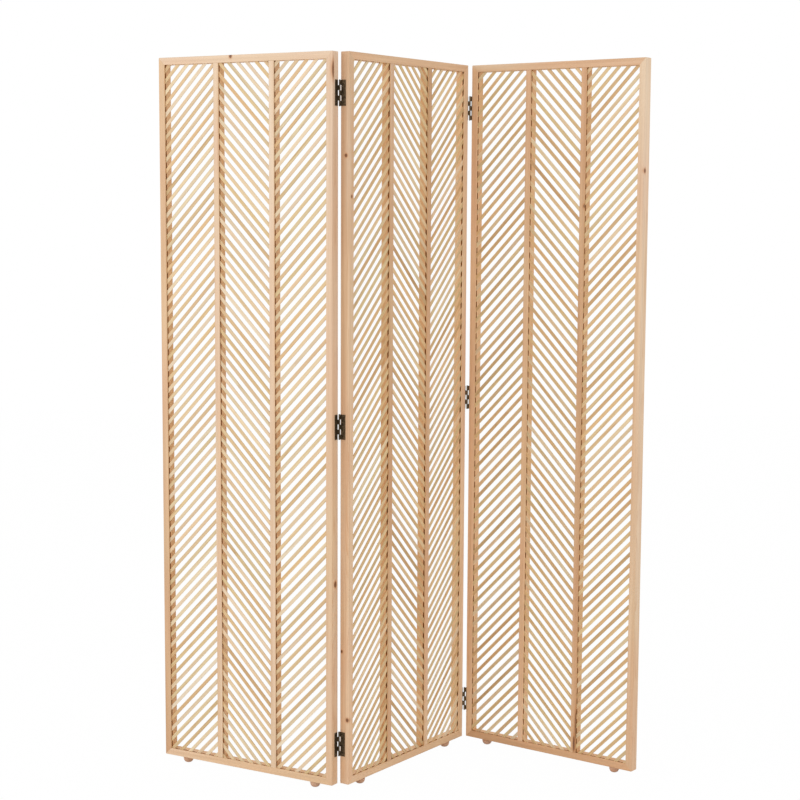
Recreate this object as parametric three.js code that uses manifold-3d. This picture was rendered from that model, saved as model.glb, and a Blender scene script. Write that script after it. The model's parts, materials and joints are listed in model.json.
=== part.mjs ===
// A folding room divider: three pine panels joined edge to edge by butt hinges, standing in a
// zigzag. Each panel is a mitred frame with two mullions, and each of its three bays is filled
// with thin diagonal slats let into a groove round the bay. Lengths are millimetres, +Z is up,
// and the front of the divider faces -Y.

import * as THREE from 'three';
import { mergeGeometries, mergeVertices } from 'three/addons/utils/BufferGeometryUtils.js';
import Module from 'manifold-3d';

// ---------- driving dimensions ----------

// panels
const PANEL_WIDTH = 517;
const FRAME_HEIGHT = 1788;
const FRAME_DEPTH = 26;
const MEMBER_FACE = 18; // seen width of stiles and rails
const MULLION_FACE = 15;
const OUTER_ROUNDING = 2; // radius of the frame's outer arrises
const GLUE_GAP = 0.25; // between wooden pieces that meet

// slats
const SLAT_WIDTH = 8.5;
const SLAT_THICKNESS = 2.2;
const SLAT_ANGLE = 45; // degrees from level
const SLAT_LEANS = [1, -1, 1]; // each bay's slats rise to the right (1) or to the left (-1)
const SLAT_END_STRIP = 2.4; // joins the slat ends inside the groove
const GROOVE_SETBACK = 3; // from the front face
const GROOVE_DEPTH = 5;
const SLAT_CLEARANCE = 0.35; // all round, inside the groove
const SMALLEST_GAP = 40; // corner gaps under this area, in square millimetres, stay closed

// The bays were filled one by one, so each has a pitch of its own, measured square across the
// slats, and a height above the middle at which a slat's centre line crosses it half way over.
const SLAT_PITCHES = {
  left: [19.56, 19.32, 19.6],
  middle: [19.86, 19.47, 19.46],
  right: [19.93, 19.77, 19.06],
};
const SLAT_SHIFTS = {
  left: [-2.5, 9.7, -1.4],
  middle: [-8.8, 2.4, -9.4],
  right: [-1.9, 11, -3.2],
};

// joinery behind the groove
const TENON_SETBACK = 10; // from the front face
const TENON_THICKNESS = 8;
const MULLION_TENON_LENGTH = 7.5;
const CORNER_TENON_LENGTH = 8; // past the mitre, measured along the rail
const CORNER_TENON_HEIGHT = 7.5;

// feet
const FOOT_DIAMETER = 26;
const FOOT_HEIGHT = 14;
const FOOT_FLAT_DIAMETER = 9; // where it meets the floor
const FOOT_RIM = 2; // straight part under the rail
const FOOT_INSETS = { left: [65, 58], middle: [66, 68], right: [62, 58] }; // from the panel's ends
const SPIGOT_DIAMETER = 9;
const SPIGOT_LENGTH = 9;

// hinges
// The left joint has its pins behind the panels, let in deeper than the right joint's pins, which
// are in front. A notch runs from the panel's face to the plate, beside the other leaf's knuckles.
// Insets run from the frame's end to a hinge's centre.
const LEFT_JOINT = {
  pinIsBehind: true,
  pinProud: 0.5,
  notch: 3.5,
  bottomInset: 101,
  topInset: 97,
  middleRise: -2,
};
const RIGHT_JOINT = {
  pinIsBehind: false,
  pinProud: 3.2,
  notch: 0.5,
  bottomInset: 104,
  topInset: 110,
  middleRise: 29,
};
const PANEL_GAP = 6.6; // between two panels laid flat
const HINGE_HEIGHT = 61;
const LEAF_WIDTH = 15.5;
const LEAF_THICKNESS = 0.9;
const LEAF_SEAT_GAP = 0.2;
const BARREL_DIAMETER = 4;
const BORE_DIAMETER = 2.3;
const PIN_DIAMETER = 2;
const PIN_HEAD_DIAMETER = 3.2;
const PIN_HEAD_HEIGHT = 0.8;
const KNUCKLE_COUNT = 5;
const KNUCKLE_GAP = 0.25; // between knuckles, and from a knuckle to the other leaf's plate
const STRAP_LAP = 0.6; // of a knuckle's strap onto its plate
const SCREW_HOLE_DIAMETER = 3.8;
const SCREW_HOLE_COUNT = 3;
const SCREW_SPACING = 22;

// how the divider stands: plan angles in degrees
const MIDDLE_YAW = 55.8; // middle panel, from +X
const LEFT_BEND = 85.8; // left panel folded behind the middle one, 0 is flat
const RIGHT_BEND = 92.4; // right panel folded in front of the middle one, 0 is flat

// facets
const ROUNDING_STEPS = 2;
const BARREL_SIDES = 12;
const BORE_SIDES = 8;
const SCREW_HOLE_SIDES = 6;
const FOOT_SIDES = 16;
const FOOT_STEPS = 3;

// ---------- derived sizes ----------

const degrees = THREE.MathUtils.degToRad;
const BAY_COUNT = SLAT_LEANS.length;
const INNER_WIDTH = PANEL_WIDTH - 2 * MEMBER_FACE;
const BAY_WIDTH = (INNER_WIDTH - (BAY_COUNT - 1) * MULLION_FACE) / BAY_COUNT;
const BAY_BOTTOM = MEMBER_FACE;
const BAY_TOP = FRAME_HEIGHT - MEMBER_FACE;
const GROOVE_WIDTH = SLAT_THICKNESS + 2 * SLAT_CLEARANCE;
const SLAT_TUCK = GROOVE_DEPTH - SLAT_CLEARANCE; // how far the slats reach into the groove
const MULLION_TENON_WIDTH = MULLION_FACE - 2 * GROOVE_DEPTH - 2 * GLUE_GAP;
const CORNER_TENON_BOTTOM = (MEMBER_FACE - CORNER_TENON_HEIGHT) / 2;
const MITRE_SHIFT = GLUE_GAP / Math.SQRT2; // along the piece, half the gap square to the mitre
const CUT_MARGIN = 1; // cutters run this far past the wood
const KNUCKLE_HEIGHT = HINGE_HEIGHT / KNUCKLE_COUNT;
const LEAF_SEAT = PANEL_GAP / 2 - LEAF_SEAT_GAP; // leaf's wood side, from the pin's plane
const LEAF_FRONT = LEAF_SEAT - LEAF_THICKNESS;

// ---------- materials ----------

function wood(colour, roughness) {
  return new THREE.MeshStandardMaterial({ color: colour, roughness, metalness: 0 });
}

const FRAME_PINE = wood(0xdcb48c, 0.62);
const SLAT_PINE = wood(0xd4ab80, 0.65);
const FOOT_WOOD = wood(0xb58a66, 0.55);
const BRONZE = new THREE.MeshStandardMaterial({ color: 0x4a3d2d, roughness: 0.42, metalness: 0.85 });

// ---------- solids ----------

const wasm = await Module();
wasm.setup();

function solidOf(geometry) {
  geometry.deleteAttribute('normal');
  geometry.deleteAttribute('uv');
  const welded = mergeVertices(geometry);
  return new wasm.Manifold(new wasm.Mesh({
    numProp: 3,
    vertProperties: new Float32Array(welded.attributes.position.array),
    triVerts: new Uint32Array(welded.index.array),
  }));
}

function geometryOf(solid) {
  const { vertProperties, triVerts } = solid.getMesh();
  const geometry = new THREE.BufferGeometry();
  geometry.setAttribute('position', new THREE.BufferAttribute(vertProperties, 3));
  geometry.setIndex(new THREE.BufferAttribute(triVerts, 1));
  geometry.computeVertexNormals();
  return geometry;
}

function extrude(shape, length) {
  return new THREE.ExtrudeGeometry(shape, { depth: length, bevelEnabled: false, steps: 1 });
}

// a box between two corners, grown by a margin on every side
function boxBetween(low, high, margin = 0) {
  const size = low.map((value, axis) => high[axis] - value + 2 * margin);
  const centre = low.map((value, axis) => (value + high[axis]) / 2);
  return new THREE.BoxGeometry(...size).translate(...centre);
}

function polygon(radius, sides) {
  const turn = (2 * Math.PI) / sides;
  const points = [];
  for (let i = 0; i < sides; i += 1) {
    points.push(new THREE.Vector2(radius * Math.cos(i * turn), radius * Math.sin(i * turn)));
  }
  return new THREE.Shape(points);
}

// a round bar along +Z
function bar(diameter, sides, bottom, top) {
  return extrude(polygon(diameter / 2, sides), top - bottom).translate(0, 0, bottom);
}

// a turned piece with its axis along +Z, from [radius, height] pairs
function turned(profile, sides) {
  const points = profile.map(([radius, height]) => new THREE.Vector2(radius, height));
  return new THREE.LatheGeometry(points, sides).rotateX(Math.PI / 2);
}

function addPiece(group, name, geometry, material) {
  const mesh = new THREE.Mesh(geometry, material);
  mesh.name = name;
  group.add(mesh);
  return mesh;
}

// ---------- frame members ----------
// In a panel X runs along its width, Y from its front face to its back, and Z up from the
// underside of the frame.

// one side of a member's section, from front to back; outward is -1 on the left, 1 on the right
function sectionSide(face, outward, rounded, grooved) {
  const x = outward > 0 ? face : 0;
  if (!rounded) {
    const points = [[x, 0], [x, FRAME_DEPTH]];
    if (grooved) {
      const floor = x - outward * GROOVE_DEPTH;
      const back = GROOVE_SETBACK + GROOVE_WIDTH;
      points.splice(1, 0, [x, GROOVE_SETBACK], [floor, GROOVE_SETBACK], [floor, back], [x, back]);
    }
    return points;
  }
  const points = [];
  const centreX = x - outward * OUTER_ROUNDING;
  for (let i = 0; i <= ROUNDING_STEPS; i += 1) {
    const angle = (i / ROUNDING_STEPS) * (Math.PI / 2);
    const along = centreX + outward * OUTER_ROUNDING * Math.sin(angle);
    const inFromFace = OUTER_ROUNDING * (1 - Math.cos(angle));
    points.splice(i, 0, [along, inFromFace], [along, FRAME_DEPTH - inFromFace]);
  }
  return points;
}

// the section of a member; the outer side is rounded and each inner side is grooved
function memberSection(face, outerSide) {
  const right = sectionSide(face, 1, outerSide === 'right', true);
  const left = sectionSide(face, -1, outerSide === 'left', true);
  const points = [...right, ...left.reverse()];
  return new THREE.Shape(points.map(([x, y]) => new THREE.Vector2(x, y)));
}

// what lies between the mitre cuts of a member, as an outline in the plane of the panel
function throughPanel(outline) {
  const shape = new THREE.Shape(outline.map(([x, z]) => new THREE.Vector2(x, z)));
  const depth = FRAME_DEPTH + 2 * CUT_MARGIN;
  return extrude(shape, depth).rotateX(Math.PI / 2).translate(0, FRAME_DEPTH + CUT_MARGIN, 0);
}

// the tenon that a rail sends through each mitre into the stile; end is 0 left, 1 right
function cornerTenon(end, isTop, margin = 0) {
  const outerEnd = MEMBER_FACE - CORNER_TENON_LENGTH - CORNER_TENON_BOTTOM;
  const innerEnd = MEMBER_FACE;
  const x = end === 0 ? [outerEnd, innerEnd] : [PANEL_WIDTH - innerEnd, PANEL_WIDTH - outerEnd];
  const bottom = isTop
    ? FRAME_HEIGHT - CORNER_TENON_BOTTOM - CORNER_TENON_HEIGHT
    : CORNER_TENON_BOTTOM;
  return boxBetween(
    [x[0], TENON_SETBACK, bottom],
    [x[1], TENON_SETBACK + TENON_THICKNESS, bottom + CORNER_TENON_HEIGHT],
    margin,
  );
}

function mullionLeft(index) {
  return MEMBER_FACE + (index + 1) * BAY_WIDTH + index * MULLION_FACE;
}

// the tenon at a mullion's end, or with a margin the mortise it fits
function mullionTenon(index, isTop, margin = 0) {
  const left = mullionLeft(index) + (MULLION_FACE - MULLION_TENON_WIDTH) / 2;
  const shoulder = isTop ? BAY_TOP : BAY_BOTTOM;
  const tip = isTop ? shoulder + MULLION_TENON_LENGTH : shoulder - MULLION_TENON_LENGTH;
  const root = isTop ? shoulder - 2 * GLUE_GAP : shoulder + 2 * GLUE_GAP;
  return boxBetween(
    [left, TENON_SETBACK, Math.min(root, tip)],
    [left + MULLION_TENON_WIDTH, TENON_SETBACK + TENON_THICKNESS, Math.max(root, tip)],
    margin,
  );
}

function stile(isRight) {
  const section = memberSection(MEMBER_FACE, isRight ? 'right' : 'left');
  const left = isRight ? PANEL_WIDTH - MEMBER_FACE : 0;
  const outer = isRight ? PANEL_WIDTH : 0;
  const inner = isRight ? left : MEMBER_FACE;
  const beyond = isRight ? outer + CUT_MARGIN : outer - CUT_MARGIN;
  const body = throughPanel([
    [beyond, MITRE_SHIFT - CUT_MARGIN],
    [inner, MEMBER_FACE + MITRE_SHIFT],
    [inner, FRAME_HEIGHT - MEMBER_FACE - MITRE_SHIFT],
    [beyond, FRAME_HEIGHT - MITRE_SHIFT + CUT_MARGIN],
  ]);
  let solid = solidOf(extrude(section, FRAME_HEIGHT).translate(left, 0, 0)).intersect(solidOf(body));
  for (const isTop of [false, true]) {
    solid = solid.subtract(solidOf(cornerTenon(isRight ? 1 : 0, isTop, GLUE_GAP)));
  }
  return solid;
}

function rail(isTop) {
  const section = memberSection(MEMBER_FACE, isTop ? 'right' : 'left');
  const bottom = isTop ? FRAME_HEIGHT - MEMBER_FACE : 0;
  const outer = isTop ? FRAME_HEIGHT + CUT_MARGIN : -CUT_MARGIN;
  const inner = isTop ? bottom : MEMBER_FACE;
  const body = throughPanel([
    [MITRE_SHIFT - CUT_MARGIN, outer],
    [MEMBER_FACE + MITRE_SHIFT, inner],
    [PANEL_WIDTH - MEMBER_FACE - MITRE_SHIFT, inner],
    [PANEL_WIDTH - MITRE_SHIFT + CUT_MARGIN, outer],
  ]);
  const length = extrude(section, PANEL_WIDTH).rotateY(-Math.PI / 2).translate(PANEL_WIDTH, 0, bottom);
  let solid = solidOf(length).intersect(solidOf(body));
  for (const end of [0, 1]) {
    solid = solid.add(solidOf(cornerTenon(end, isTop)));
  }
  for (let index = 0; index < BAY_COUNT - 1; index += 1) {
    solid = solid.subtract(solidOf(mullionTenon(index, isTop, GLUE_GAP)));
  }
  return solid;
}

function mullion(index) {
  const shoulderGap = GLUE_GAP;
  const length = BAY_TOP - BAY_BOTTOM - 2 * shoulderGap;
  const body = extrude(memberSection(MULLION_FACE, 'neither'), length);
  let solid = solidOf(body.translate(mullionLeft(index), 0, BAY_BOTTOM + shoulderGap));
  for (const isTop of [false, true]) {
    solid = solid.add(solidOf(mullionTenon(index, isTop)));
  }
  return solid;
}

// ---------- slats ----------

// the part of a polygon where normal . point <= limit
function clip(points, normal, limit) {
  const kept = [];
  points.forEach((point, i) => {
    const next = points[(i + 1) % points.length];
    const here = normal.dot(point) - limit;
    const there = normal.dot(next) - limit;
    if (here <= 0) kept.push(point);
    if (here * there < 0) kept.push(point.clone().lerp(next, here / (here - there)));
  });
  return kept;
}

function rectangle(left, bottom, right, top) {
  return [[left, bottom], [right, bottom], [right, top], [left, top]]
    .map(([x, z]) => new THREE.Vector2(x, z));
}

// all slats of a bay as one lattice: a thin board with a slanting gap cut between each two slats
function slatLattice(bay, pitch, shift) {
  const left = MEMBER_FACE + bay * (BAY_WIDTH + MULLION_FACE) - SLAT_TUCK;
  const right = left + BAY_WIDTH + 2 * SLAT_TUCK;
  const bottom = BAY_BOTTOM - SLAT_TUCK;
  const top = BAY_TOP + SLAT_TUCK;
  const strip = SLAT_END_STRIP;
  const opening = rectangle(left + strip, bottom + strip, right - strip, top - strip);

  // the distance across the slats is measured along this normal
  const lean = SLAT_LEANS[bay] * degrees(SLAT_ANGLE);
  const across = new THREE.Vector2(-Math.sin(lean), Math.cos(lean));
  const back = across.clone().negate();
  const centre = new THREE.Vector2((left + right) / 2, FRAME_HEIGHT / 2 + shift);
  const middleSlat = across.dot(centre);
  const reach = Math.ceil(FRAME_HEIGHT / pitch);

  const gaps = [];
  for (let k = -reach; k <= reach; k += 1) {
    const low = middleSlat + k * pitch + SLAT_WIDTH / 2;
    const high = middleSlat + (k + 1) * pitch - SLAT_WIDTH / 2;
    const gap = clip(clip(opening, across, high), back, -low);
    if (gap.length > 2 && Math.abs(THREE.ShapeUtils.area(gap)) > SMALLEST_GAP) {
      gaps.push(throughPanel(gap.map((point) => point.toArray())));
    }
  }
  const front = GROOVE_SETBACK + SLAT_CLEARANCE;
  const board = boxBetween([left, front, bottom], [right, front + SLAT_THICKNESS, top]);
  return geometryOf(solidOf(board).subtract(solidOf(mergeGeometries(gaps))));
}

// ---------- feet ----------

function footProfile() {
  const flat = FOOT_FLAT_DIAMETER / 2;
  const radius = FOOT_DIAMETER / 2;
  const top = -GLUE_GAP;
  const dome = FOOT_HEIGHT - FOOT_RIM;
  const profile = [[0, -FOOT_HEIGHT]];
  for (let i = 0; i <= FOOT_STEPS; i += 1) {
    const angle = (i / FOOT_STEPS) * (Math.PI / 2);
    const outwards = flat + (radius - flat) * Math.sin(angle);
    profile.push([outwards, -FOOT_HEIGHT + dome * (1 - Math.cos(angle))]);
  }
  const spigot = SPIGOT_DIAMETER / 2;
  profile.push([radius, top], [spigot, top], [spigot, SPIGOT_LENGTH], [0, SPIGOT_LENGTH]);
  return profile;
}

function footHole(x) {
  const diameter = SPIGOT_DIAMETER + 2 * GLUE_GAP;
  const hole = bar(diameter, FOOT_SIDES, -CUT_MARGIN, SPIGOT_LENGTH + GLUE_GAP);
  return hole.translate(x, FRAME_DEPTH / 2, 0);
}

// ---------- hinges ----------
// A leaf is drawn with the pin on the Z axis and its own panel on the +X side, behind -Y. A half
// turn about X, Y or Z gives the other three places that a leaf can have round a pin.

// true for the first, third and fifth knuckles, which belong to the leaf on the right
function onRightLeaf(knuckle) {
  return knuckle % 2 === 0;
}

function knuckleSpan(knuckle) {
  const bottom = -HINGE_HEIGHT / 2 + knuckle * KNUCKLE_HEIGHT;
  const lowGap = knuckle === 0 ? 0 : KNUCKLE_GAP / 2;
  const highGap = knuckle === KNUCKLE_COUNT - 1 ? 0 : KNUCKLE_GAP / 2;
  return [bottom + lowGap, bottom + KNUCKLE_HEIGHT - highGap];
}

// where a plate begins: behind the panel's face, and clear of the other leaf's knuckles
function plateStart({ pinProud, notch }) {
  const reach = BARREL_DIAMETER / 2 + KNUCKLE_GAP;
  const clear = Math.sqrt(Math.max(0, reach * reach - LEAF_FRONT * LEAF_FRONT));
  return -Math.max(pinProud + notch, clear);
}

// the strap that carries a knuckle, from the plate round to the barrel
function strapShape(joint) {
  const { pinProud } = joint;
  const barrel = BARREL_DIAMETER / 2;
  const lap = plateStart(joint) - STRAP_LAP;
  const outline = [
    [LEAF_FRONT, lap],
    [LEAF_SEAT, lap],
    [LEAF_SEAT, -pinProud / 2],
    [LEAF_FRONT, 0],
    [0, barrel],
    [0, -barrel],
    [LEAF_FRONT, -pinProud],
  ];
  return new THREE.Shape(outline.map(([x, y]) => new THREE.Vector2(x, y)));
}

function hingeLeaf(isRight, joint) {
  const half = HINGE_HEIGHT / 2;
  const plateEdge = -joint.pinProud - LEAF_WIDTH;
  const notchEdge = plateStart(joint);
  let leaf = solidOf(boxBetween([LEAF_FRONT, plateEdge, -half], [LEAF_SEAT, notchEdge, half]));

  const holeY = (plateEdge + notchEdge) / 2;
  for (let i = 0; i < SCREW_HOLE_COUNT; i += 1) {
    const holeZ = (i - (SCREW_HOLE_COUNT - 1) / 2) * SCREW_SPACING;
    const drill = bar(SCREW_HOLE_DIAMETER, SCREW_HOLE_SIDES, 0, PANEL_GAP);
    leaf = leaf.subtract(solidOf(drill.rotateY(Math.PI / 2).translate(0, holeY, holeZ)));
  }

  for (let knuckle = 0; knuckle < KNUCKLE_COUNT; knuckle += 1) {
    if (onRightLeaf(knuckle) === isRight) {
      const [bottom, top] = knuckleSpan(knuckle);
      leaf = leaf.add(solidOf(bar(BARREL_DIAMETER, BARREL_SIDES, bottom, top)));
      leaf = leaf.add(solidOf(extrude(strapShape(joint), top - bottom).translate(0, 0, bottom)));
    }
  }
  const bore = bar(BORE_DIAMETER, BORE_SIDES, -half - CUT_MARGIN, half + CUT_MARGIN);
  return leaf.subtract(solidOf(bore));
}

// the pin with a shallow head at each end, which keeps it in the knuckles
function pinProfile() {
  const seat = HINGE_HEIGHT / 2 + KNUCKLE_GAP;
  const end = seat + PIN_HEAD_HEIGHT;
  const shaft = PIN_DIAMETER / 2;
  const head = PIN_HEAD_DIAMETER / 2;
  return [[0, -end], [head, -end], [head, -seat], [shaft, -seat], [shaft, seat], [head, seat],
    [head, end], [0, end]];
}

// ---------- assembly ----------

const PIN = turned(pinProfile(), BORE_SIDES);
const FOOT = turned(footProfile(), FOOT_SIDES);

function buildPanel(side) {
  const panel = new THREE.Group();
  const name = `${side}_panel`;
  addPiece(panel, `${name}_left_stile`, geometryOf(stile(false)), FRAME_PINE);
  addPiece(panel, `${name}_right_stile`, geometryOf(stile(true)), FRAME_PINE);
  addPiece(panel, `${name}_top_rail`, geometryOf(rail(true)), FRAME_PINE);

  let bottomRail = rail(false);
  const [leftInset, rightInset] = FOOT_INSETS[side];
  const footPlaces = { left: leftInset, right: PANEL_WIDTH - rightInset };
  for (const [place, x] of Object.entries(footPlaces)) {
    bottomRail = bottomRail.subtract(solidOf(footHole(x)));
    const foot = addPiece(panel, `${name}_${place}_foot`, FOOT, FOOT_WOOD);
    foot.position.set(x, FRAME_DEPTH / 2, 0);
  }
  addPiece(panel, `${name}_bottom_rail`, geometryOf(bottomRail), FRAME_PINE);

  ['left', 'right'].forEach((place, index) => {
    addPiece(panel, `${name}_${place}_mullion`, geometryOf(mullion(index)), FRAME_PINE);
  });
  ['left', 'centre', 'right'].forEach((place, bay) => {
    const lattice = slatLattice(bay, SLAT_PITCHES[side][bay], SLAT_SHIFTS[side][bay]);
    addPiece(panel, `${name}_${place}_slats`, lattice, SLAT_PINE);
  });
  return panel;
}

// three hinges on one joint: each leaf goes on its own panel, the pin stays with the right leaf
function addHinges(name, joint, leftPanel, rightPanel) {
  const { pinIsBehind, pinProud } = joint;
  const pinY = pinIsBehind ? FRAME_DEPTH + pinProud : -pinProud;
  const leftX = PANEL_WIDTH + PANEL_GAP / 2;
  const rightX = -PANEL_GAP / 2;
  const leftLeaf = geometryOf(hingeLeaf(false, joint));
  const rightLeaf = geometryOf(hingeLeaf(true, joint));
  const heights = {
    bottom: joint.bottomInset,
    middle: FRAME_HEIGHT / 2 + joint.middleRise,
    top: FRAME_HEIGHT - joint.topInset,
  };
  for (const [place, z] of Object.entries(heights)) {
    const hinge = `${name}_${place}_hinge`;
    const left = addPiece(leftPanel, `${hinge}_left_leaf`, leftLeaf, BRONZE);
    left.position.set(leftX, pinY, z);
    if (pinIsBehind) left.rotation.y = Math.PI;
    else left.rotation.z = Math.PI;

    const right = addPiece(rightPanel, `${hinge}_right_leaf`, rightLeaf, BRONZE);
    right.position.set(rightX, pinY, z);
    if (!pinIsBehind) right.rotation.x = Math.PI;

    const pin = addPiece(rightPanel, `${hinge}_pin`, PIN, BRONZE);
    pin.position.set(rightX, pinY, z);
  }
}

const leftPanel = buildPanel('left');
const middlePanel = buildPanel('middle');
const rightPanel = buildPanel('right');
addHinges('left_joint', LEFT_JOINT, leftPanel, middlePanel);
addHinges('right_joint', RIGHT_JOINT, middlePanel, rightPanel);

// the left panel turns about pins behind the middle panel's left edge
const leftPinY = FRAME_DEPTH + LEFT_JOINT.pinProud;
const leftFold = new THREE.Group();
leftFold.position.set(-PANEL_GAP / 2, leftPinY, 0);
leftFold.rotation.z = -degrees(LEFT_BEND);
leftPanel.position.set(-PANEL_WIDTH - PANEL_GAP / 2, -leftPinY, 0);
leftFold.add(leftPanel);

// the right panel turns about pins in front of the middle panel's right edge
const rightPinY = -RIGHT_JOINT.pinProud;
const rightFold = new THREE.Group();
rightFold.position.set(PANEL_WIDTH + PANEL_GAP / 2, rightPinY, 0);
rightFold.rotation.z = -degrees(RIGHT_BEND);
rightPanel.position.set(PANEL_GAP / 2, -rightPinY, 0);
rightFold.add(rightPanel);

middlePanel.add(leftFold, rightFold);
middlePanel.rotation.z = degrees(MIDDLE_YAW);

// the origin is on the floor, under the middle of the standing divider
const divider = new THREE.Group();
divider.add(middlePanel);
divider.updateMatrixWorld(true);
const bounds = new THREE.Box3().setFromObject(divider, true);
const middle = bounds.getCenter(new THREE.Vector3());
middlePanel.position.set(-middle.x, -middle.y, -bounds.min.z);
divider.updateMatrixWorld(true);

export default divider;
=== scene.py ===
import json
import math
import random

import bmesh
import bpy
from mathutils import Matrix, Vector

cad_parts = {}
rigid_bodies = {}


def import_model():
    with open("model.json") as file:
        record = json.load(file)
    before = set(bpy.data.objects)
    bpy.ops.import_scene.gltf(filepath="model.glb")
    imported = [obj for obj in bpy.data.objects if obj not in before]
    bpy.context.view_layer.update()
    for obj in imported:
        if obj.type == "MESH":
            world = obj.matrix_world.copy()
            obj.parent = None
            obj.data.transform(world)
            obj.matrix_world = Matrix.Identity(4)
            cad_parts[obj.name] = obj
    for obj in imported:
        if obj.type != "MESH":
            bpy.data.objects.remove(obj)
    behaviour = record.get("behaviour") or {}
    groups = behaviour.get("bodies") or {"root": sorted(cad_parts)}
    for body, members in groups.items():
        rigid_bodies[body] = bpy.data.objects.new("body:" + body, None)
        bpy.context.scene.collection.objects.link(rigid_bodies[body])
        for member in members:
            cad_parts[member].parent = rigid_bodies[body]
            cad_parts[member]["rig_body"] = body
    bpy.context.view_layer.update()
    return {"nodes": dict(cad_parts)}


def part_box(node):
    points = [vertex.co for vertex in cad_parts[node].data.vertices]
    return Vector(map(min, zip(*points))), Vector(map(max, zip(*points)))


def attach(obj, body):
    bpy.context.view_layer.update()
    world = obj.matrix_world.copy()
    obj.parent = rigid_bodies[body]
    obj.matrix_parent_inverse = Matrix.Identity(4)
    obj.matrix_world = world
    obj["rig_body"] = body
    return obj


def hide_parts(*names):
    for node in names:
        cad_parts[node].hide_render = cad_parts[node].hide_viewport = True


# A folding room divider of three slatted pine panels. The wooden members, the single slats, the
# hinge leaves, pins, screws and feet are drawn here in full detail in the places of their CAD
# nodes. Each piece is drawn in millimetres in its panel's own frame: X runs along the panel's
# width, Y from its front face to its back, and Z up from the underside of the wooden frame.

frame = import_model()

# ---------- dimensions, in millimetres ----------

MM = 0.001

PANEL_WIDTH = 517
FRAME_HEIGHT = 1788
FRAME_DEPTH = 26
MEMBER_FACE = 18  # of stiles and rails
MULLION_FACE = 15
OUTER_ROUNDING = 2  # of a panel's outer arrises
INNER_ROUNDING = 0.7  # of the arrises round the bays
ROUNDING_ANGLES = (0, 15, 30)  # where the outer rounding is cut into strips
ARRIS_ANGLES = (0, 30, 60, 90)  # where the inner rounding is cut into strips
MITRE_SHIFT = 0.07  # leaves a hairline at each mitre
SHOULDER_GAP = 0.1  # between a mullion's end and the rail

GROOVE_SETBACK = 3
GROOVE_DEPTH = 5
GROOVE_EASE = 0.2
GROOVE_SHADE_SPILL = 1.6  # how far the painted shade of a groove reaches along the side behind it

SLAT_WIDTH = 8.5
SLAT_THICKNESS = 2.2
SLAT_ANGLE = 45
SLAT_LEANS = (1, -1, 1)
SLAT_CLEARANCE = 0.35
SLAT_EASE = 0.4
SMALLEST_SLAT = 70  # square millimetres; smaller corner pieces are left out
SLAT_PITCHES = {  # square across the slats, bay by bay
    "left": (19.56, 19.32, 19.6),
    "middle": (19.86, 19.47, 19.46),
    "right": (19.93, 19.77, 19.06),
}
SLAT_SHIFTS = {  # height above the middle where a slat's centre line crosses it
    "left": (-2.5, 9.7, -1.4),
    "middle": (-8.8, 2.4, -9.4),
    "right": (-1.9, 11, -3.2),
}

FOOT_DIAMETER = 26
FOOT_HEIGHT = 14
FOOT_FLAT_DIAMETER = 9
FOOT_RIM = 2
FOOT_TOP_EASE = 0.6
FOOT_TOP_GAP = 0.05  # from a foot's top to the underside of the frame
FOOT_INSETS = {"left": (65, 58), "middle": (66, 68), "right": (62, 58)}  # from the panel's ends

PANEL_GAP = 6.6
HINGE_HEIGHT = 61
LEAF_WIDTH = 15.5
LEAF_THICKNESS = 0.9
LEAF_SEAT_GAP = 0.2
LEAF_EASE = 0.2
STRAP_LAP = 0.6  # over the plate's edge
STRAP_TRIM = 0.02  # from each end of its knuckle
BARREL_DIAMETER = 4
BORE_DIAMETER = 2.3
PIN_DIAMETER = 2
PIN_HEAD_DIAMETER = 3.2
PIN_HEAD_HEIGHT = 0.8
PIN_HEAD_DOME = ((0.55, 0.03), (0.85, 0.2), (1, 0.5))  # share of its radius, drop from its top
KNUCKLE_COUNT = 5
KNUCKLE_GAP = 0.25
SCREW_SPACING = 22
SCREW_HEAD_DIAMETER = 5.4
SCREW_SHANK_DIAMETER = 3.4
SCREW_HEAD_DROP = 0.05  # from the leaf's front to the screw's face
SCREW_RIM = (0.25, 0.15)  # in from the edge of the head, and down to it
SCREW_CONE_DEPTH = 0.8
SCREW_LENGTH = 2.4
SCREW_TURN = 0.5  # radians
RECESS_LOW = (-1.6, -0.32, -0.75)  # corners of one arm of the cross recess
RECESS_HIGH = (1.6, 0.32, 0.5)
RECESS_TAPER = 0.5  # of the recess's length that is left at its floor
SINK_CLEARANCE = 0.15
SINK_RISE = 0.4  # the sink's cutter above the leaf's front, and its flare there
SINK_DEPTH = 3
BORE_OVERRUN = 1

# degrees: the middle panel's turn from the X axis, and the turn at each joint
MIDDLE_YAW = 55.8
LEFT_BEND = 85.8
RIGHT_BEND = 92.4

GROOVE_WIDTH = SLAT_THICKNESS + 2 * SLAT_CLEARANCE
GROOVE_END = GROOVE_SETBACK + GROOVE_WIDTH
BAY_COUNT = len(SLAT_LEANS)
INNER_WIDTH = PANEL_WIDTH - 2 * MEMBER_FACE
BAY_WIDTH = (INNER_WIDTH - (BAY_COUNT - 1) * MULLION_FACE) / BAY_COUNT
BAY_BOTTOM = MEMBER_FACE
BAY_TOP = FRAME_HEIGHT - MEMBER_FACE
LEAF_SEAT = PANEL_GAP / 2 - LEAF_SEAT_GAP  # leaf's wood side, from the pin's plane
LEAF_FRONT = LEAF_SEAT - LEAF_THICKNESS
KNUCKLE_HEIGHT = HINGE_HEIGHT / KNUCKLE_COUNT

# ---------- the joints and the panels' places ----------
# The left joint's pins lie behind the panels, and the right joint's pins in front of them. The
# plates of a joint's leaves begin a notch's width behind the panel's face.

LEFT_PIN_PROUD = 0.5
RIGHT_PIN_PROUD = 3.2
BEFORE_LEFT_EDGE = -PANEL_GAP / 2
PAST_RIGHT_EDGE = PANEL_WIDTH + PANEL_GAP / 2

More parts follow.
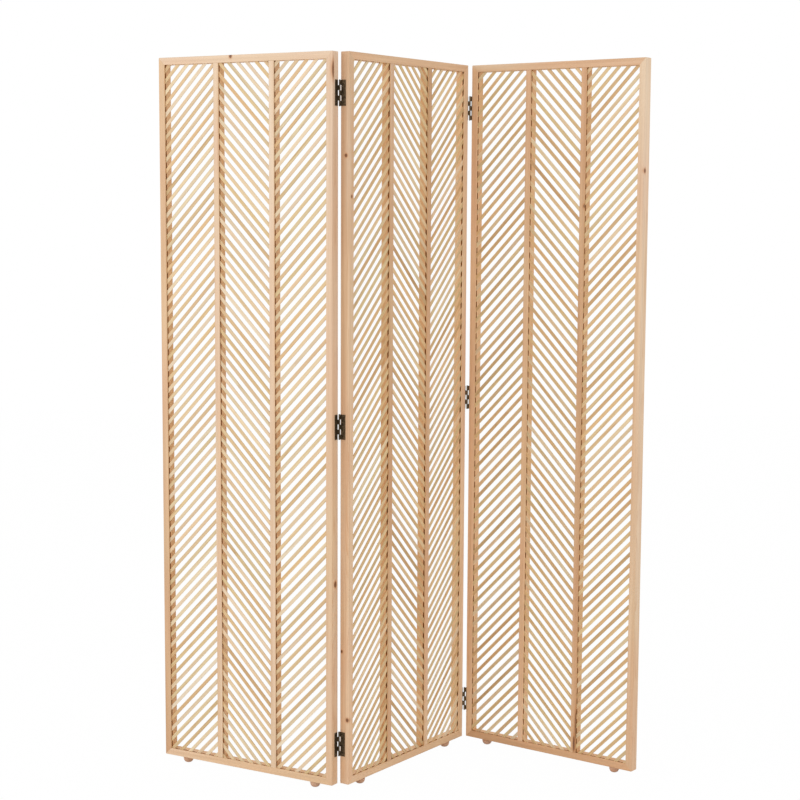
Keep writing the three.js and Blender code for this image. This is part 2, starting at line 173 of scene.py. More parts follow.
JOINTS = {
    "left_joint": {
        "panels": ("left", "middle"),
        "pin_proud": LEFT_PIN_PROUD,
        "notch": 3.5,
        "pin_y": FRAME_DEPTH + LEFT_PIN_PROUD,
        "heights": {"bottom": 101, "middle": FRAME_HEIGHT / 2 - 2, "top": FRAME_HEIGHT - 97},
        "turns": {"left": ("Y", math.pi), "right": ("Z", 0)},
    },
    "right_joint": {
        "panels": ("middle", "right"),
        "pin_proud": RIGHT_PIN_PROUD,
        "notch": 0.5,
        "pin_y": -RIGHT_PIN_PROUD,
        "heights": {"bottom": 104, "middle": FRAME_HEIGHT / 2 + 29, "top": FRAME_HEIGHT - 110},
        "turns": {"left": ("Z", math.pi), "right": ("X", math.pi)},
    },
}


def panel_matrix(yaw, joint, pin_x):
    """From a panel's own frame in millimetres to the row frame in metres, found from the middle
    pin of a joint, whose distance along the panel is pin_x."""
    low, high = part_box(f"{joint}_middle_hinge_pin")
    turn = Matrix.Rotation(math.radians(yaw), 4, "Z") @ Matrix.Scale(MM, 4)
    pin_in_panel = Vector((pin_x, JOINTS[joint]["pin_y"], JOINTS[joint]["heights"]["middle"]))
    return Matrix.Translation((low + high) / 2 - turn @ pin_in_panel) @ turn


PANELS = {
    "left": panel_matrix(MIDDLE_YAW - LEFT_BEND, "left_joint", PAST_RIGHT_EDGE),
    "middle": panel_matrix(MIDDLE_YAW, "left_joint", BEFORE_LEFT_EDGE),
    "right": panel_matrix(MIDDLE_YAW - RIGHT_BEND, "right_joint", BEFORE_LEFT_EDGE),
}

# ---------- materials ----------


def srgb(red, green, blue):
    """A colour from 0 to 255 on screen, as the shader's linear numbers."""
    def linear(value):
        value /= 255
        return value / 12.92 if value <= 0.04045 else ((value + 0.055) / 1.055) ** 2.4

    return (linear(red), linear(green), linear(blue), 1)


class Graph:
    """Adds shader nodes with short calls. An input is a number, a tuple or a node's output."""

    def __init__(self, tree):
        self.tree = tree
        tree.nodes.clear()

    def add(self, kind, inputs=None, **settings):
        node = self.tree.nodes.new(kind)
        for name, value in settings.items():
            setattr(node, name, value)
        for name, value in (inputs or {}).items():
            if isinstance(value, bpy.types.NodeSocket):
                self.tree.links.new(value, node.inputs[name])
            else:
                node.inputs[name].default_value = value
        return node

    def math(self, operation, a, b=0.0, clamp=False):
        node = self.add("ShaderNodeMath", {0: a, 1: b}, operation=operation, use_clamp=clamp)
        return node.outputs[0]

    def vector(self, operation, a, b=(0, 0, 0)):
        node = self.add("ShaderNodeVectorMath", {0: a, 1: b}, operation=operation)
        return node.outputs["Value" if operation == "LENGTH" else "Vector"]

    def attribute(self, name):
        return self.add("ShaderNodeAttribute", attribute_name=name).outputs["Vector"]

    def split(self, vector):
        return self.add("ShaderNodeSeparateXYZ", {"Vector": vector}).outputs

    def grey(self, value):
        node = self.add("ShaderNodeCombineXYZ", {"X": value, "Y": value, "Z": value})
        return node.outputs[0]

    def noise(self, vector, scale, detail, roughness):
        inputs = {"Vector": vector, "Scale": scale, "Detail": detail, "Roughness": roughness}
        return self.add("ShaderNodeTexNoise", inputs).outputs

    def remap(self, value, low, high, to_low, to_high, about=0.0):
        """Turns low to high, smoothly, into to_low to to_high, both counted from about."""
        inputs = {"Value": value, "From Min": low, "From Max": high}
        inputs.update({"To Min": about + to_low, "To Max": about + to_high})
        return self.add("ShaderNodeMapRange", inputs, interpolation_type="SMOOTHSTEP").outputs[0]

    def mix(self, factor, a, b, blend="MIX"):
        inputs = {0: factor, 6: a, 7: b}
        return self.add("ShaderNodeMix", inputs, data_type="RGBA", blend_type=blend).outputs[2]

    def ramp(self, value, stops):
        node = self.add("ShaderNodeValToRGB", {"Fac": value})
        elements = node.color_ramp.elements
        while len(elements) < len(stops):
            elements.new(0.5)
        for element, (position, level) in zip(elements, stops):
            element.position = position
            element.color = (level, level, level, 1)
        return node.outputs["Color"]

    def bump(self, height, strength, distance):
        inputs = {"Height": height, "Strength": strength, "Distance": distance}
        return self.add("ShaderNodeBump", inputs).outputs[0]

    def surface(self, shader):
        self.add("ShaderNodeOutputMaterial", {"Surface": shader})

    def principled(self, inputs):
        self.surface(self.add("ShaderNodeBsdfPrincipled", inputs).outputs[0])


def new_material(name):
    material = bpy.data.materials.new(name)
    material.use_nodes = True
    return material, Graph(material.node_tree)


# Growth rings across one year, from pale early wood to the dark line where growth stops.
RING_STOPS = ((0.0, 0.0), (0.45, 0.12), (0.8, 0.75), (0.93, 1.0), (1.0, 0.0))
RINGS_PER_MM = 0.42
RING_WANDER = 22  # millimetres from side to side
RING_UNEVENNESS = 2.4  # years
RING_BEND = 7  # millimetres by which the rings give way to a knot
KNOT_FALL = 3  # how steeply a knot ends

# Noises in the grain: the share of the length that counts, then scale, detail and roughness.
GRAIN_NOISES = {
    "wander": (0.12, 0.02, 1, 0.5),
    "unevenness": (0.02, 0.09, 2, 0.5),
    "ring_strength": (0.05, 0.11, 1, 0.5),
    "fibres": (0.012, 1.9, 3, 0.65),
    "streaks": (0.012, 0.2, 2, 0.6),
    "patches": (0.3, 0.008, 2, 0.5),
    "bands": (0.04, 0.045, 1, 0.5),
}

# Each range holds a low and a high value, then what they are turned into.
RING_STRENGTH = (0.3, 0.7, 0.35, 1.0)
STREAK_LIGHT = (0.25, 0.75, 0.93, 1.05)
FIBRE_LIGHT = (0.25, 0.75, 0.965, 1.03)
FIBRE_GLOSS = (0.2, 0.8, -0.08, 0.08)
PATCH_PINKNESS = (0.35, 0.65, 0.0, 0.7)
BAND_PALENESS = (0.3, 0.7, -0.12, 0.12)
HALO_COVER = (0.04, 0.5, 0.0, 0.65)
HEART_COVER = (0.4, 0.75, 0.0, 0.9)

PINK_SHARE = 0.5
# How far the sides round the bays are painted towards amber, a painted glow of warm bounced light.
BOUNCE_COVER = 0.45
FIBRE_RELIEF = 0.5
RING_RELIEF = -0.35
RELIEF_STRENGTH = 0.25
RELIEF_DISTANCE = 0.0003  # metres
SHEEN = 0.35

CREAM = srgb(245, 233, 214)
HEARTWOOD = srgb(176, 122, 76)
KNOT_HALO = srgb(190, 124, 70)
KNOT_HEART = srgb(112, 70, 42)
# The next two are painted light: a dark brown, painted shade in and just behind the grooves, and an
# amber, a painted glow of warm light bounced onto the sides round the bays.
GROOVE_SHADE_BROWN = srgb(150, 84, 36)
BOUNCE_AMBER = srgb(238, 188, 126)


def grain_noise(g, grain, kind, output="Fac"):
    """A noise that is drawn out along the grain."""
    length_share, *settings = GRAIN_NOISES[kind]
    return g.noise(g.vector("MULTIPLY", grain, (1, 1, length_share)), *settings)[output]


def nearness_to_knots(g, grain, knots):
    """1 at a knot's heart, a half at its radii and almost 0 at four times its radii."""
    nearness = 0.0
    for centre, radii in knots:
        apart = g.vector("SUBTRACT", grain, centre)
        apart = g.vector("LENGTH", g.vector("MULTIPLY", apart, tuple(1 / r for r in radii)))
        fall = g.math("POWER", apart, KNOT_FALL)
        nearness = g.math("MAXIMUM", nearness, g.math("DIVIDE", 1.0, g.math("ADD", 1.0, fall)))
    return nearness


def growth_rings(g, grain, near_knot, contrast):
    """How dark the rings are. They wander slowly along the length and bend round the knots."""
    wander = g.vector("SUBTRACT", grain_noise(g, grain, "wander", "Color"), (0.5, 0.5, 0.5))
    wander = g.vector("MULTIPLY", wander, (RING_WANDER, RING_WANDER, 0))
    from_pith = g.vector("MULTIPLY", g.vector("ADD", grain, wander), (1, 1, 0))
    bend = g.math("MULTIPLY", near_knot, RING_BEND)
    radius = g.math("ADD", g.vector("LENGTH", from_pith), bend)
    unevenness = g.math("MULTIPLY", grain_noise(g, grain, "unevenness"), RING_UNEVENNESS)
    years = g.math("ADD", g.math("MULTIPLY", radius, RINGS_PER_MM), unevenness)
    rings = g.ramp(g.math("FRACT", years), RING_STOPS)
    low, high, faint, full = RING_STRENGTH
    strength = grain_noise(g, grain, "ring_strength")
    strength = g.remap(strength, low, high, faint * contrast, full * contrast)
    return g.math("MULTIPLY", rings, strength)


def pine(name, early, late, pink, ring_contrast, roughness, knots=(), grooved=False):
    """Softwood whose grain follows the attribute "grain": across, depth and length in millimetres,
    from the pith of the log that each piece was cut from. The attribute "tint" holds each piece's
    lightness, its paleness (towards cream above 0, towards heartwood below) and its pinkness.
    Knots are (centre, radii) in the same millimetres. Grooved boards also have a third attribute,
    of
    painted light: its X is 1 in a groove and fades out just behind it, where the wood is painted
    dark brown for the shade in the groove, and its Y is 1 on the sides round the bays, which are
    painted amber for warm light bounced between the boards."""
    material, g = new_material(name)
    grain = g.attribute("grain")
    piece_light, piece_paleness, piece_pinkness = g.split(g.attribute("tint"))
    near_knot = nearness_to_knots(g, grain, knots)
    rings = growth_rings(g, grain, near_knot, ring_contrast)
    fibres = grain_noise(g, grain, "fibres")

    patches = g.remap(grain_noise(g, grain, "patches"), *PATCH_PINKNESS)
    pinkness = g.math("ADD", patches, piece_pinkness, clamp=True)
    bands = g.remap(grain_noise(g, grain, "bands"), *BAND_PALENESS)
    paleness = g.math("ADD", piece_paleness, bands)
    light = g.remap(grain_noise(g, grain, "streaks"), *STREAK_LIGHT)
    light = g.math("MULTIPLY", light, g.remap(fibres, *FIBRE_LIGHT))
    light = g.math("MULTIPLY", light, piece_light)

    colour = g.mix(rings, early, late)
    colour = g.mix(pinkness, colour, g.mix(PINK_SHARE, colour, pink))
    colour = g.mix(paleness, colour, CREAM)
    colour = g.mix(g.math("MULTIPLY", paleness, -1.0), colour, HEARTWOOD)
    colour = g.mix(1.0, colour, g.grey(light), "MULTIPLY")
    if knots:
        colour = g.mix(g.remap(near_knot, *HALO_COVER), colour, KNOT_HALO)
        colour = g.mix(g.remap(near_knot, *HEART_COVER), colour, KNOT_HEART)
    sheen = SHEEN
    # Painted light: the grooves and the strip behind them are painted dark brown for the shade in
    # them and lose their sheen, and the sides round the bays are painted amber for warm light
    # bounced between the boards.
    if grooved:
        groove_shade, bay_side_glow, _ = g.split(g.attribute("painted_light"))
        colour = g.mix(g.math("MULTIPLY", bay_side_glow, BOUNCE_COVER), colour, BOUNCE_AMBER)
        colour = g.mix(groove_shade, colour, GROOVE_SHADE_BROWN)
        sheen = g.remap(groove_shade, 0.0, 1.0, SHEEN, 0.0)

    relief = g.math("MULTIPLY", fibres, FIBRE_RELIEF)
    relief = g.math("ADD", relief, g.math("MULTIPLY", rings, RING_RELIEF))
    g.principled({
        "Base Color": colour,
        "Roughness": g.remap(fibres, *FIBRE_GLOSS, about=roughness),
        "Normal": g.bump(relief, RELIEF_STRENGTH, RELIEF_DISTANCE),
        "Specular IOR Level": sheen,
    })
    return material


# Noises in the bronze: scale in a metre, detail and roughness. The ranges are as for the pine.
PATINA_NOISE = (220, 4, 0.6)
RUBBING_NOISE = (60, 2, 0.5)
PITTING_NOISE = (1500, 2, 0.5)
PATINA_COVER = (0.35, 0.7, 0.0, 0.6)
RUBBING_COVER = (0.5, 0.75, 0.0, 0.35)
PATINA_GLOSS = (0.3, 0.7, -0.06, 0.1)
PITTING_STRENGTH = 0.2
PITTING_DISTANCE = 0.0001  # metres
BRONZE_METALLIC = 0.85


def bronze(name, base, worn, roughness):
    """Dark plated metal with a mottled patina, a little lighter where the plating is rubbed."""
    material, g = new_material(name)
    place = g.add("ShaderNodeTexCoord").outputs["Object"]
    patina = g.noise(place, *PATINA_NOISE)["Fac"]
    rubbing = g.noise(place, *RUBBING_NOISE)["Fac"]
    pitting = g.noise(place, *PITTING_NOISE)["Fac"]
    colour = g.mix(g.remap(patina, *PATINA_COVER), base, worn)
    colour = g.mix(g.remap(rubbing, *RUBBING_COVER), colour, worn)
    g.principled({
        "Base Color": colour,
        "Roughness": g.remap(patina, *PATINA_GLOSS, about=roughness),
        "Normal": g.bump(pitting, PITTING_STRENGTH, PITTING_DISTANCE),
        "Metallic": BRONZE_METALLIC,
    })
    return material


# ---------- mesh helpers ----------

SHARP_ANGLE = 35  # degrees between faces that meet in a hard edge
MERGE_DISTANCE = 1e-4


def plain_mesh(bm):
    """The vertices and faces of a bmesh as lists, after its normals have been turned outwards."""
    bmesh.ops.recalc_face_normals(bm, faces=bm.faces)
    bm.verts.index_update()
    points = [v.co.copy() for v in bm.verts]
    faces = [[v.index for v in face.verts] for face in bm.faces]
    bm.free()
    return points, faces


def append_mesh(points, faces, more_points, more_faces):
    """Adds a mesh's lists to the end of another's."""
    faces += [[i + len(points) for i in face] for face in more_faces]
    points += more_points


def add_piece(name, points, faces, matrix, material, slot, node, attributes=None):
    """A visible piece that stands for a CAD node, or rides with it where it stands for none."""
    mesh = bpy.data.meshes.new(name)
    mesh.from_pydata([matrix @ p for p in points], [], faces)
    for key, values in (attributes or {}).items():
        attribute = mesh.attributes.new(key, "FLOAT_VECTOR", "POINT")
        attribute.data.foreach_set("vector", [c for value in values for c in value])
    mesh.materials.append(material)
    mesh.shade_smooth()
    mesh.set_sharp_from_angle(angle=math.radians(SHARP_ANGLE))
    piece = bpy.data.objects.new(name, mesh)
    bpy.context.scene.collection.objects.link(piece)
    weighted = piece.modifiers.new("flat_faces_stay_flat", "WEIGHTED_NORMAL")
    weighted.keep_sharp = True
    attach(piece, frame["nodes"][node]["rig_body"])
    return piece


def prism(outline, place_low, place_high):
    """A closed prism between two copies of an outline, each put in place by a function."""
    bm = bmesh.new()
    low = [bm.verts.new(place_low(p)) for p in outline]
    high = [bm.verts.new(place_high(p)) for p in outline]
    count = len(outline)
    for i in range(count):
        j = (i + 1) % count
        bm.faces.new((low[i], low[j], high[j], high[i]))
    bm.faces.new(low)
    bm.faces.new(high[::-1])
    return bm


def turned(profile, sides):
    """A turned solid about Z from (radius, height) pairs that start and end on the axis."""
    bm = bmesh.new()
    rings = []
    for radius, height in profile:
        if radius == 0:
            rings.append([bm.verts.new((0, 0, height))] * sides)
            continue
        ring = []
        for i in range(sides):
            angle = 2 * math.pi * i / sides
            ring.append(bm.verts.new((radius * math.cos(angle), radius * math.sin(angle), height)))
        rings.append(ring)
    for low, high in zip(rings, rings[1:]):
        for i in range(sides):
            j = (i + 1) % sides
            corners = list(dict.fromkeys((low[i], low[j], high[j], high[i])))
            bm.faces.new(corners)
    return bm


# ---------- frame members ----------

CORNER_MARKS = [OUTER_ROUNDING * (1 - math.tan(math.radians(a))) for a in ROUNDING_ANGLES] + [0]
PANEL_SIZE = (PANEL_WIDTH, FRAME_DEPTH, FRAME_HEIGHT)


def outer_side():
    """Section points (across, depth) round a member's outer side, square until round_corners."""
    front = [(mark, 0) for mark in CORNER_MARKS] + [(0, mark) for mark in CORNER_MARKS[-2::-1]]
    return front + [(across, FRAME_DEPTH - depth) for across, depth in reversed(front)]


def grooved_side(face):
    """Section points down a member's inner side, from the front arris to the back one."""
    points = []
    for angle in map(math.radians, ARRIS_ANGLES):
        inset = INNER_ROUNDING * (1 - math.sin(angle))
        points.append((face - inset, INNER_ROUNDING * (1 - math.cos(angle))))
    back = [(across, FRAME_DEPTH - depth) for across, depth in reversed(points)]
    floor = face - GROOVE_DEPTH
    groove = [
        (face, GROOVE_SETBACK - GROOVE_EASE),
        (face - GROOVE_EASE, GROOVE_SETBACK),
        (floor, GROOVE_SETBACK),
        (floor, GROOVE_END),
        (face - GROOVE_EASE, GROOVE_END),
        (face, GROOVE_END + GROOVE_EASE),
        (face, GROOVE_END + GROOVE_EASE + GROOVE_SHADE_SPILL),
    ]
    return points + groove + back


def sweep(section, stations, to_panel):
    """A member from its section, repeated at each station. A station gives each section point's
    place along the member, and to_panel turns (across, depth, along) into the panel's frame."""
    bm = bmesh.new()
    rows = [[bm.verts.new(to_panel(a, d, place(a))) for a, d in section] for place in stations]
    count = len(section)
    for low, high in zip(rows, rows[1:]):
        for i in range(count):
            j = (i + 1) % count
            bm.faces.new((low[i], low[j], high[j], high[i]))
    bm.faces.new(rows[0])
    bm.faces.new(rows[-1][::-1])
    bmesh.ops.remove_doubles(bm, verts=bm.verts, dist=MERGE_DISTANCE)
    return bm


def round_corners(bm):
    """Pulls what lies on the panel's outside onto a box with rounded edges and corners."""
    for vert in bm.verts:
        core = [
            min(max(value, OUTER_ROUNDING), size - OUTER_ROUNDING)
            for value, size in zip(vert.co, PANEL_SIZE)
        ]
        away = vert.co - Vector(core)
        if max(abs(value) for value in away) > OUTER_ROUNDING - 2 * MITRE_SHIFT:
            vert.co = Vector(core) + away.normalized() * OUTER_ROUNDING


def mitred_member(length, to_panel):
    """A stile or rail with both ends cut at 45 degrees."""
    section = outer_side() + grooved_side(MEMBER_FACE)[::-1]
    marks = sorted(CORNER_MARKS)
    stations = [lambda a, m=m: max(m, a + MITRE_SHIFT) for m in marks]
    stations += [lambda a, m=m: length - max(m, a + MITRE_SHIFT) for m in reversed(marks)]
    bm = sweep(section, stations, to_panel)
    round_corners(bm)
    return bm


def mullion(left):
    """An inner upright, grooved on both sides, whose left side is at a distance along the panel."""
    right_side = grooved_side(MULLION_FACE)
    left_side = [(MULLION_FACE - across, depth) for across, depth in right_side]
    section = left_side + right_side[::-1]
    low, high = BAY_BOTTOM + SHOULDER_GAP, BAY_TOP - SHOULDER_GAP
    return sweep(section, [lambda a: low, lambda a: high], lambda a, d, s: (left + a, d, s))


def bay_left(bay):
    """Where a bay begins along the panel."""
    return MEMBER_FACE + bay * (BAY_WIDTH + MULLION_FACE)


def upright(point):
    """Grain of a stile or mullion: across, depth, length."""
    return Vector((point.x, point.y, point.z))


def level(point):
    """Grain of a rail."""
    return Vector((point.z, point.y, point.x))


# Each member's function, its arguments and the direction of its grain.
MEMBERS = {
    "left_stile": (
        mitred_member, (FRAME_HEIGHT, lambda a, d, s: (a, d, s)), upright,
    ),
    "right_stile": (
        mitred_member, (FRAME_HEIGHT, lambda a, d, s: (PANEL_WIDTH - a, d, s)), upright,
    ),
    "bottom_rail": (
        mitred_member, (PANEL_WIDTH, lambda a, d, s: (s, d, a)), level,
    ),
    "top_rail": (
        mitred_member, (PANEL_WIDTH, lambda a, d, s: (s, d, FRAME_HEIGHT - a)), level,
    ),
    "left_mullion": (mullion, (bay_left(1) - MULLION_FACE,), upright),
    "right_mullion": (mullion, (bay_left(2) - MULLION_FACE,), upright),
}

# Levels of lightness, and of paleness from heartwood brown to sapwood cream.
DIM, DULL, EVEN, LIGHT, BRIGHT = 0.92, 0.97, 1.01, 1.06, 1.12
BROWN, WARM, PLAIN, PALE, CREAMY = -0.35, -0.15, 0.05, 0.2, 0.35

# The divider is made of boards from many trees. Each board has a tone at its lower or left end and
# one at its other end. The slats have one tone for a panel, round which they vary. The left panel's
# paler, creamier tones are partly its wood and partly a painted sheen, for the light from the left
# that glances off that panel. The middle panel's uprights grow darker towards the top.
TONES = {
    "left": {
        "left_stile": ((DULL, BROWN), (DULL, PLAIN)),
        "right_stile": ((DULL, PLAIN), (DULL, CREAMY)),
        "bottom_rail": ((EVEN, PLAIN), (EVEN, PLAIN)),
        "top_rail": ((DULL, CREAMY), (DULL, CREAMY)),
        "left_mullion": ((DULL, PALE), (DULL, PALE)),
        "right_mullion": ((DULL, PALE), (DULL, CREAMY)),
        "slats": (DULL, PALE),
    },
    "middle": {
        "left_stile": ((LIGHT, PLAIN), (DIM, PLAIN)),
        "right_stile": ((BRIGHT, PALE), (LIGHT, PALE)),
        "bottom_rail": ((LIGHT, PLAIN), (LIGHT, PLAIN)),
        "top_rail": ((EVEN, PLAIN), (EVEN, PLAIN)),
        "left_mullion": ((EVEN, BROWN), (DIM, PLAIN)),
        "right_mullion": ((LIGHT, PLAIN), (DIM, BROWN)),
        "slats": (EVEN, PLAIN),
    },
    "right": {
        "left_stile": ((BRIGHT, PLAIN), (BRIGHT, WARM)),
        "right_stile": ((DULL, PLAIN), (EVEN, PALE)),
        "bottom_rail": ((BRIGHT, BROWN), (BRIGHT, BROWN)),
        "top_rail": ((DULL, PLAIN), (DULL, PLAIN)),
        "left_mullion": ((BRIGHT, PLAIN), (LIGHT, WARM)),
        "right_mullion": ((LIGHT, BROWN), (LIGHT, BROWN)),
        "slats": (EVEN, PLAIN),
    },
}

# Logs lie end to end along one pith at 0, 0, and each piece comes from one of them.
LOG_LENGTH = 4000
PITH_DISTANCES = (25, 95)
BOARD_SEED = 11


def log_place(index, chance):
    """Where a piece was cut from a log: across, depth and length."""
    angle = chance.uniform(0, 2 * math.pi)
    distance = chance.uniform(*PITH_DISTANCES)
    return Vector((distance * math.cos(angle), distance * math.sin(angle), index * LOG_LENGTH))


def board_places(chance):
    boards = [(side, member) for side in PANELS for member in MEMBERS]
    return {board: log_place(index, chance) for index, board in enumerate(boards)}


BOARD_PLACES = board_places(random.Random(BOARD_SEED))

# Knots: panel, member, place in the panel's frame, and radii along its X, Y and Z.
KNOTS = (
    ("left", "top_rail", (221, 0, 1785), (4, 7, 5)),
    ("left", "right_stile", (PANEL_WIDTH, 14, 505), (8, 5, 8)),
    ("left", "right_stile", (PANEL_WIDTH, 3, 1745), (6, 3, 22)),
    ("middle", "left_stile", (0, 10, 1544), (6, 4, 4.5)),
    ("middle", "left_stile", (10, 0, 1447), (3, 7, 4)),
    ("middle", "left_stile", (0, 21, 335), (6, 3, 4)),
    ("middle", "left_stile", (0, 4, 164), (8, 4, 5)),
    ("middle", "left_mullion", (168, 15, 96), (5, 3, 16)),
    ("right", "right_mullion", (349, 3, 1428), (5, 5, 6)),
    ("right", "right_stile", (PANEL_WIDTH, 5, 1515), (6, 4, 6)),
    ("right", "left_stile", (MEMBER_FACE, 11, 1508), (5, 4, 7)),
    ("right", "right_mullion", (344, 0, 42), (3, 12, 22)),
    ("right", "right_mullion", (349, 1, 92), (3, 4, 44)),
)


def knots_in_logs():
    """Each knot's centre and radii in the log of its board."""
    placed = []
    for side, member, place, radii in KNOTS:
        along_grain = MEMBERS[member][2]
        centre = along_grain(Vector(place)) + BOARD_PLACES[side, member]
        placed.append((tuple(centre), tuple(along_grain(Vector(radii)))))
    return placed


FRAME_PINE = pine(
    "frame_pine",
    early=srgb(226, 192, 154),
    late=srgb(204, 157, 112),
    pink=srgb(214, 158, 124),
    ring_contrast=0.75,
    roughness=0.5,
    knots=knots_in_logs(),
    grooved=True,
)
SLAT_PINE = pine(
    "slat_pine",
    early=srgb(222, 198, 149),
    late=srgb(190, 153, 102),
    pink=srgb(218, 168, 118),
    ring_contrast=0.85,
    roughness=0.52,
)
FOOT_WOOD = pine(
    "foot_wood",
    early=srgb(204, 163, 132),
    late=srgb(178, 132, 100),
    pink=srgb(192, 142, 114),
    ring_contrast=0.7,
    roughness=0.45,
)
BRONZE = bronze("bronze", base=srgb(74, 62, 46), worn=srgb(132, 114, 88), roughness=0.42)

BAY_SIDES = [bay_left(bay) for bay in range(BAY_COUNT)]
BAY_SIDES += [left + BAY_WIDTH for left in BAY_SIDES]
NEAR = 0.01


def painted_light(point):
    """How much painted shade a member's point takes in and just behind its groove, and whether it
    lies on a side that faces a bay, where a warm glow of bounced light is painted.
    """
    in_groove_shade = GROOVE_SETBACK - NEAR < point.y < GROOVE_END + GROOVE_EASE + NEAR
    beside_bay = any(abs(point.x - side) < NEAR for side in BAY_SIDES)
    above_or_below = any(abs(point.z - side) < NEAR for side in (BAY_BOTTOM, BAY_TOP))
    return (float(in_groove_shade), float(beside_bay or above_or_below), 0)


def build_members(side):
    """A panel's stiles, rails and mullions."""
    for member, (build, arguments, along_grain) in MEMBERS.items():
        node = f"{side}_panel_{member}"
        points, faces = plain_mesh(build(*arguments))
        start = BOARD_PLACES[side, member]
        length = FRAME_HEIGHT if along_grain is upright else PANEL_WIDTH
        low_tone, high_tone = (Vector((*tone, 0)) for tone in TONES[side][member])
        attributes = {
            "grain": [along_grain(p) + start for p in points],
            "tint": [low_tone.lerp(high_tone, along_grain(p).z / length) for p in points],
            "painted_light": [painted_light(p) for p in points],
        }
        piece = add_piece(
            f"{node}_board", points, faces, PANELS[side], FRAME_PINE, "frame_pine", node,
            attributes,
        )
        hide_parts(node)


# ---------- slats ----------

# How the slats differ from each other: spreads in degrees and millimetres, and in tone.
ANGLE_SPREAD = 0.15
WIDTH_SPREAD = 0.25
HEIGHT_SPREAD = 0.45
LIGHTNESS_RANGE = (0.92, 1.06)
PALENESS_SPREAD = 0.13
PINK_CHOICES = (0, 0, 0.15, 0.35, 0.7)
BAY_PLACES = ("left", "centre", "right")
SEEDS_PER_PANEL = 100
PARALLEL = 0.999  # cosine from which an edge counts as a slat's long one


def clip(points, normal, limit):
    """The part of a convex polygon where normal . point is at most limit."""
    kept = []
    for i, point in enumerate(points):
        following = points[(i + 1) % len(points)]
        here = normal.dot(point) - limit
        there = normal.dot(following) - limit
        if here <= 0:
            kept.append(point)
        if here * there < 0:
            kept.append(point.lerp(following, here / (here - there)))
    return kept


def area(points):
    """The area of a polygon."""
    return abs(sum(a.cross(b) for a, b in zip(points, points[1:] + points[:1]))) / 2


def slat(outline, direction):
    """One slat from its outline in the panel's plane, with its long arrises eased."""
    front = GROOVE_SETBACK + SLAT_CLEARANCE
    back = front + SLAT_THICKNESS
    bm = prism(outline, lambda p: (p.x, front, p.y), lambda p: (p.x, back, p.y))
    along = Vector((direction.x, 0, direction.y))
    long_edges = [
        edge for edge in bm.edges
        if abs((edge.verts[1].co - edge.verts[0].co).normalized().dot(along)) > PARALLEL
    ]
    bmesh.ops.bevel(
        bm, geom=long_edges, offset=SLAT_EASE, offset_type="OFFSET", segments=2, profile=0.5,
        affect="EDGES", clamp_overlap=True,
    )
    return plain_mesh(bm)


def bay_opening(bay):
    """The rectangle that a bay's slats fill, as far as their ends in the grooves."""
    tuck = GROOVE_DEPTH - SLAT_CLEARANCE
    left, right = bay_left(bay) - tuck, bay_left(bay) + BAY_WIDTH + tuck
    bottom, top = BAY_BOTTOM - tuck, BAY_TOP + tuck
    corners = ((left, bottom), (right, bottom), (right, top), (left, top))
    return [Vector(corner) for corner in corners]


def slat_tone(side, chance):
    """Lightness, paleness and pinkness of one slat."""
    lightness, paleness = TONES[side]["slats"]
    return (
        lightness * chance.uniform(*LIGHTNESS_RANGE),
        paleness + chance.gauss(0, PALENESS_SPREAD),
        chance.choice(PINK_CHOICES),
    )


def build_slats(side, bay, place, chance):
    """All slats of one bay, each a closed strip of its own with its own tone and grain."""
    opening = bay_opening(bay)
    centre = Vector((bay_left(bay) + BAY_WIDTH / 2, FRAME_HEIGHT / 2 + SLAT_SHIFTS[side][bay]))
    pitch = SLAT_PITCHES[side][bay]
    slope = math.cos(math.radians(SLAT_ANGLE))
    reach = math.ceil(FRAME_HEIGHT / pitch)

    points, faces, grain, tint = [], [], [], []
    for k in range(-reach, reach + 1):
        angle = math.radians(SLAT_LEANS[bay] * SLAT_ANGLE + chance.gauss(0, ANGLE_SPREAD))
        direction = Vector((math.cos(angle), math.sin(angle)))
        across = Vector((-direction.y, direction.x))
        half = (SLAT_WIDTH + chance.uniform(-WIDTH_SPREAD, WIDTH_SPREAD)) / 2
        height = k * pitch / slope + chance.gauss(0, HEIGHT_SPREAD)
        line = across.dot(centre + Vector((0, height)))
        start = log_place(k, chance)
        tone = slat_tone(side, chance)
        outline = clip(clip(opening, across, line + half), -across, half - line)
        if len(outline) < 3 or area(outline) < SMALLEST_SLAT:
            continue
        strip, strip_faces = slat(outline, direction)
        append_mesh(points, faces, strip, strip_faces)
        tint += [tone] * len(strip)
        for p in strip:
            flat = Vector((p.x, p.z))
            grain.append(start + Vector((across.dot(flat) - line, p.y, direction.dot(flat))))
    node = f"{side}_panel_{place}_slats"
    piece = add_piece(
        f"{node}_strips", points, faces, PANELS[side], SLAT_PINE, "slat_pine", node,
        {"grain": grain, "tint": tint},
    )
    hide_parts(node)


# ---------- feet ----------

FOOT_SIDES = 48
FOOT_STEPS = 12
FOOT_SEED = 900
FOOT_LOGS = {"left": 64, "middle": 66, "right": 65}
FOOT_TONE = (1.0, 0.0, 0.3)


def foot_profile():
    """A dome that stands on a small flat, with a straight rim under the frame."""
    flat = FOOT_FLAT_DIAMETER / 2
    radius = FOOT_DIAMETER / 2
    dome = FOOT_HEIGHT - FOOT_RIM
    profile = [(0, -FOOT_HEIGHT)]
    for i in range(FOOT_STEPS + 1):
        angle = math.pi / 2 * i / FOOT_STEPS
        outwards = flat + (radius - flat) * math.sin(angle)
        profile.append((outwards, -FOOT_HEIGHT + dome * (1 - math.cos(angle))))
    profile += [(radius, -FOOT_TOP_EASE), (radius - FOOT_TOP_EASE, -FOOT_TOP_GAP)]
    return profile + [(0, -FOOT_TOP_GAP)]


